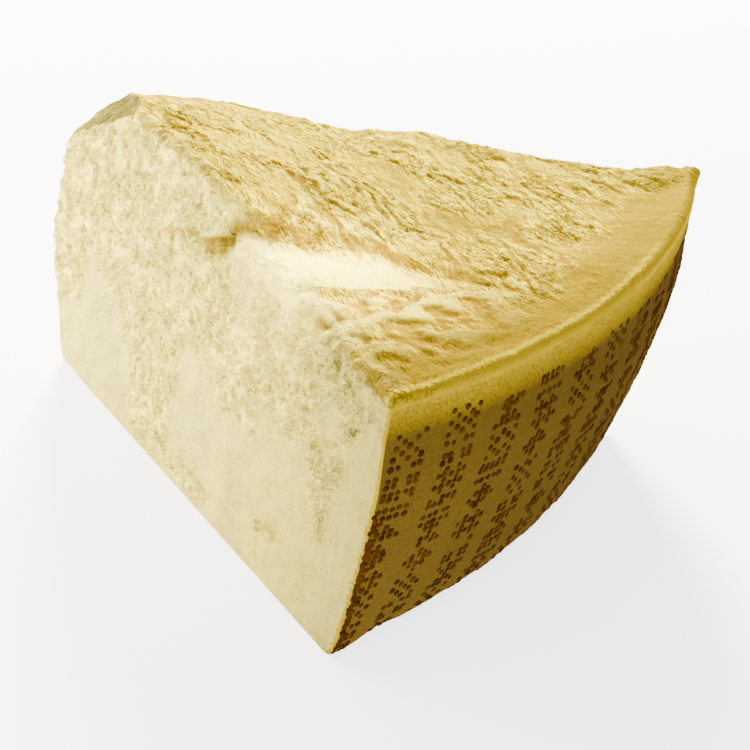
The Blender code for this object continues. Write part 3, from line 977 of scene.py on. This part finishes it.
class Nodes:
    """Short calls for building the nodes of a material or a world."""

    def __init__(self, owner):
        owner.use_nodes = True
        self.owner = owner
        self.tree = owner.node_tree
        self.shader = self.tree.nodes.get("Principled BSDF")

    def feed(self, node, inputs):
        """Gives each of a node's inputs its number, its tuple or its link."""
        for name, source in inputs.items():
            if isinstance(source, (tuple, float)):
                node.inputs[name].default_value = source
            else:
                self.tree.links.new(source, node.inputs[name])

    def add(self, kind, output, inputs, **settings):
        """Adds a node and returns its output."""
        node = self.tree.nodes.new("ShaderNode" + kind)
        for name, value in settings.items():
            setattr(node, name, value)
        self.feed(node, inputs)
        return node.outputs[output]

    def value(self, name):
        return self.add("Attribute", "Fac", {}, attribute_name=name)

    def place(self):
        return self.add("TexCoord", "Object", {})

    def noise(self, settings, place=None):
        """Noise by its scale, detail and roughness."""
        scale, detail, roughness = settings
        inputs = {"Scale": scale, "Detail": detail, "Roughness": roughness, "Vector": place or self.place()}
        return self.add("TexNoise", "Fac", inputs)

    def vector(self, operation, first, second):
        output = "Value" if operation == "DOT_PRODUCT" else "Vector"
        return self.add("VectorMath", output, {0: first, 1: second}, operation=operation)

    def squeezed(self, direction, stretch):
        """Places whose lengths along the direction are divided by stretch."""
        along = self.vector("PROJECT", self.place(), direction)
        excess = self.vector("MULTIPLY", along, (1 - 1 / stretch,) * 3)
        return self.vector("SUBTRACT", self.place(), excess)

    def math(self, operation, *sources):
        return self.add("Math", "Value", dict(enumerate(sources)), operation=operation)

    def plus(self, first, second):
        return self.math("ADD", first, second)

    def minus(self, first, second):
        return self.math("SUBTRACT", first, second)

    def times(self, first, second):
        return self.math("MULTIPLY", first, second)

    def spread(self, source, low, high, to_low, to_high):
        """Maps low to to_low and high to to_high, and no further."""
        inputs = {"Value": source, "From Min": low, "From Max": high, "To Min": to_low, "To Max": to_high}
        return self.add("MapRange", "Result", inputs)

    def cracks(self, scale, place, half_width):
        """1 on thin wandering lines, 0 between them."""
        away = self.math("ABSOLUTE", self.minus(self.noise((scale, *DARK_LINE_DETAIL), place), 0.5))
        return self.spread(away, 0.0, half_width, 1.0, 0.0)

    def mix_numbers(self, share, first, second):
        return self.add("Mix", 0, {0: share, 2: first, 3: second})

    def mix(self, share, first, second):
        """Mixes two colours."""
        return self.add("Mix", 2, {0: share, 6: first, 7: second}, data_type="RGBA")

    def coated(self, colour, coats, **made):
        """Lays coats over a colour. They follow what is made here or the mesh's values."""
        for name, spread, coat in coats:
            share = self.spread(made.get(name) or self.value(name), *spread)
            colour = self.mix(share, colour, coat)
        return colour

    def bump(self, height, distance, strength=1.0, normal=OWN_NORMAL):
        inputs = {"Height": height, "Distance": distance, "Strength": strength, "Normal": normal}
        return self.add("Bump", "Normal", inputs)

    def finish(self, colour, roughness, normal=OWN_NORMAL):
        """Sets the dull surface's colour, roughness and normal. Returns the material."""
        self.feed(self.shader, {"Base Color": colour, "Roughness": roughness,
                                "Specular IOR Level": GLOSS, "Normal": normal})
        return self.owner


def split_layer(nodes, place, facing, spacing, wander, scale, height):
    """Overlapping torn layers, in metres: each rises gently and ends in a short steep edge."""
    order = nodes.times(nodes.vector("DOT_PRODUCT", place, facing), 1.0 / spacing)
    order = nodes.plus(order, nodes.times(nodes.noise((scale, *WANDER_DETAIL), place), wander))
    share = nodes.math("FRACT", order)
    rise = nodes.spread(share, 0.0, EDGE_SHARE, 0.0, 1.0)
    drop = nodes.spread(share, EDGE_SHARE, 1.0, 1.0, 0.0)
    torn = nodes.spread(nodes.noise((scale * TORN_SCALE, *TORN_DETAIL), place), *TORN_SPREAD)
    return nodes.times(nodes.times(nodes.math("MINIMUM", rise, drop), torn), height)


def split_layers(nodes, place, facing, layers):
    """Torn layers of two sizes, added together."""
    first, second = (split_layer(nodes, place, facing, *layer) for layer in layers)
    return nodes.plus(first, second)


def paste_normals(nodes, rough, top, flake_place, chip_place):
    """Relief too fine for the mesh. Returns the normal that its coarse part gives, and the whole one."""
    flakes = split_layers(nodes, flake_place, GOLDEN_SIDE, FLAKE_LAYERS)
    chip = split_layers(nodes, chip_place, CHIP_SIDE, CHIP_LAYERS)
    normal = nodes.bump(nodes.times(nodes.mix_numbers(top, chip, flakes), rough), 1.0)
    fine = nodes.times(nodes.noise(FINE_NOISE), FINE_HIGH)
    drag = nodes.times(nodes.noise(DRAG_NOISE, nodes.squeezed(UPWARDS, DRAG_SQUEEZE)), DRAG_HIGH)
    fine = nodes.plus(fine, nodes.times(drag, nodes.spread(rough, *DRAG_SPREAD)))
    return normal, nodes.bump(fine, 1.0, normal=normal)


def dark_lines_share(nodes, rough, place, cracks):
    """How much of the deeper tone the thin dark lines take, most where the paste is rough; on the top they
    are painted shadow along the flakes' edges.
    """
    scale, half_width, share = cracks
    return nodes.times(nodes.cracks(scale, place, half_width), nodes.times(rough, share))


def ivory_paste(nodes, rough, normal, chip_place):
    """Colour of the split sides: paler where they are rough, with painted shade towards the rind, in the
    dips, on faces turned downwards and on the tip's facet, and darker in thin lines.
    """
    cool = nodes.spread(nodes.noise(COOL_NOISE, nodes.squeezed(UPWARDS, COOL_SQUEEZE)), *COOL_SPREAD)
    cool = nodes.times(cool, nodes.spread(rough, *COOL_WHERE_SMOOTH))
    # Painted shade: how far each face is turned downwards
    below = nodes.vector("DOT_PRODUCT", normal, CHIP_SIDE)
    cracks = dark_lines_share(nodes, rough, chip_place, IVORY_DARK_LINES)
    return nodes.coated(IVORY_SMOOTH, IVORY_COATS, cool=cool, below=below, cracks=cracks)


def golden_paste(nodes, rough, normal, flake_place):
    """Colour of the split top: painted highlights on its flakes and on their sides that face the light, and
    painted shade on their sides that face left.
    """
    # Painted light and shade: how far the flakes' sides face left, away from the light
    facing = nodes.vector("DOT_PRODUCT", normal, GOLDEN_SIDE)
    crumb = nodes.times(nodes.spread(nodes.noise(CRUMB_NOISE, flake_place), *CRUMB_SPREAD), rough)
    deep = nodes.spread(nodes.value("pale"), *DEEP_WHERE_PALE)
    deep = nodes.times(nodes.spread(facing, *DEEP_FACING), deep)
    cracks = dark_lines_share(nodes, rough, flake_place, FLAKE_DARK_LINES)
    return nodes.coated(GOLD_PALE, GOLDEN_COATS, blotch=nodes.noise(BLOTCH_NOISE), facing=facing,
                        crumb=crumb, cracks=cracks, deep=deep)


def with_rind_edge(nodes, paste, top):
    """The pale fringe and the thin brown line where the paste meets the rind."""
    from_rind = nodes.minus(nodes.value("to_rind"), nodes.times(nodes.noise(HAIR_NOISE), HAIR_LONG))
    on_right = nodes.spread(nodes.value("arc"), *FRINGE_ARC)
    fringe = nodes.times(nodes.times(nodes.spread(from_rind, *FRINGE_SPREAD), on_right), top)
    return nodes.coated(paste, RIND_EDGE_COATS, fringe=fringe, from_rind=from_rind)


def paste_material():
    """Ivory paste, golden on the split top, where the gold is partly its own tone and partly painted backlit
    glow.
    """
    nodes = Nodes(bpy.data.materials.new("cheese_paste"))
    rough, top = nodes.value("rough"), nodes.value("top")
    flake_place = nodes.squeezed(FLAKE_DIRECTION, FLAKE_SQUEEZE)
    chip_place = nodes.squeezed(CHIP_DIRECTION, CHIP_SQUEEZE)
    coarse_normal, normal = paste_normals(nodes, rough, top, flake_place, chip_place)
    ivory = ivory_paste(nodes, rough, coarse_normal, chip_place)
    golden = golden_paste(nodes, rough, coarse_normal, flake_place)
    # The top's gold is partly painted backlit glow
    paste = with_rind_edge(nodes, nodes.mix(nodes.value("gold"), ivory, golden), top)
    nodes.feed(nodes.shader, SUBSURFACE)
    return nodes.finish(paste, PASTE_ROUGHNESS, normal)


def rind_material():
    """Brown rind with fine dark grain, darker downwards, partly its own tone and partly painted shade,
    darker towards the right as painted shade, and with a yellow band at its top that is partly its own tone
    and partly painted light.
    """
    nodes = Nodes(bpy.data.materials.new("cheese_rind"))
    height = nodes.add("SeparateXYZ", "Z", {0: nodes.place()})
    colour = nodes.coated(RIND_LOW, RIND_COATS, height=height, specks=nodes.noise(SPECK_NOISE))
    nodes.feed(nodes.shader, SUBSURFACE)
    return nodes.finish(colour, RIND_ROUGHNESS, nodes.bump(nodes.noise(RIND_FINE_NOISE), *RIND_FINE_RELIEF))


def mark_material():
    """Dark burnt rind."""
    nodes = Nodes(bpy.data.materials.new("burnt_rind"))
    colour = nodes.coated(BURNT_DARK, BURNT_COATS, blotch=nodes.noise(BURNT_NOISE))
    normal = nodes.bump(nodes.noise(BURNT_FINE_NOISE), *BURNT_FINE_RELIEF)
    return nodes.finish(colour, RIND_ROUGHNESS, normal)


def floor_material():
    """Plain pale floor that gives off a little light itself."""
    nodes = Nodes(bpy.data.materials.new("pale_floor"))
    nodes.feed(nodes.shader, {"Emission Color": FLOOR_COLOUR, "Emission Strength": FLOOR_GLOW})
    return nodes.finish(FLOOR_COLOUR, FLOOR_ROUGHNESS)


# ---------------- stage

def aim(thing, place, target, roll=0.0):
    """Puts a camera or a light at its place and turns it to the target."""
    thing.location = place
    turn = (Vector(target) - Vector(place)).to_track_quat("-Z", "Y")
    thing.rotation_mode = "QUATERNION"
    thing.rotation_quaternion = turn @ Quaternion((0, 0, 1), roll)
    bpy.context.scene.collection.objects.link(thing)


def make_camera():
    data = bpy.data.cameras.new("camera")
    data.sensor_width = SENSOR_WIDTH
    data.lens = LENS
    camera = bpy.data.objects.new("camera", data)
    aim(camera, CAMERA_PLACE, CAMERA_TARGET, CAMERA_ROLL)
    bpy.context.scene.camera = camera


def make_light(name, place, target, power, size, colour, beam=math.pi):
    data = bpy.data.lights.new(name, "AREA")
    data.energy = power
    data.size = size
    data.color = colour
    data.spread = beam
    aim(bpy.data.objects.new(name, data), place, target)


def make_sky():
    """A white sky that is brighter on one side."""
    world = bpy.data.worlds.new("world")
    sky = Nodes(world)
    side = sky.vector("DOT_PRODUCT", sky.add("TexCoord", "Generated", {}), SKY_BRIGHT_SIDE)
    strength = sky.spread(side, *SKY_SPREAD)
    sky.feed(sky.tree.nodes["Background"], {"Color": SKY_COLOUR, "Strength": strength})
    bpy.context.scene.world = world


def make_stage():
    bpy.ops.mesh.primitive_plane_add(size=FLOOR_SIZE)
    floor = bpy.context.object
    floor.name = "floor"
    floor.data.materials.append(floor_material())
    make_sky()
    for light in LIGHTS:
        make_light(*light)


def main():
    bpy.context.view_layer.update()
    low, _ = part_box(NODE)
    offset = Vector((0.0, low[1] + MEETING_LINE_FROM_FRONT, low[2]))
    make_camera()
    chunk = make_chunk(offset)
    marks = make_marks(offset)
    for piece in (chunk, marks):
        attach(piece, "root")
    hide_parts(NODE)
    make_stage()


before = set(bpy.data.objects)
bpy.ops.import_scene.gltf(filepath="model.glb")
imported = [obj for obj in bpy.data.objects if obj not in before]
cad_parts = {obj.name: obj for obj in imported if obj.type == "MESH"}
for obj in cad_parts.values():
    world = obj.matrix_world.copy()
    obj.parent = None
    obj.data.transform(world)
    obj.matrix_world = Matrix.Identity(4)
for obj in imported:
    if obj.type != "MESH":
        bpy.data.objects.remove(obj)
main()
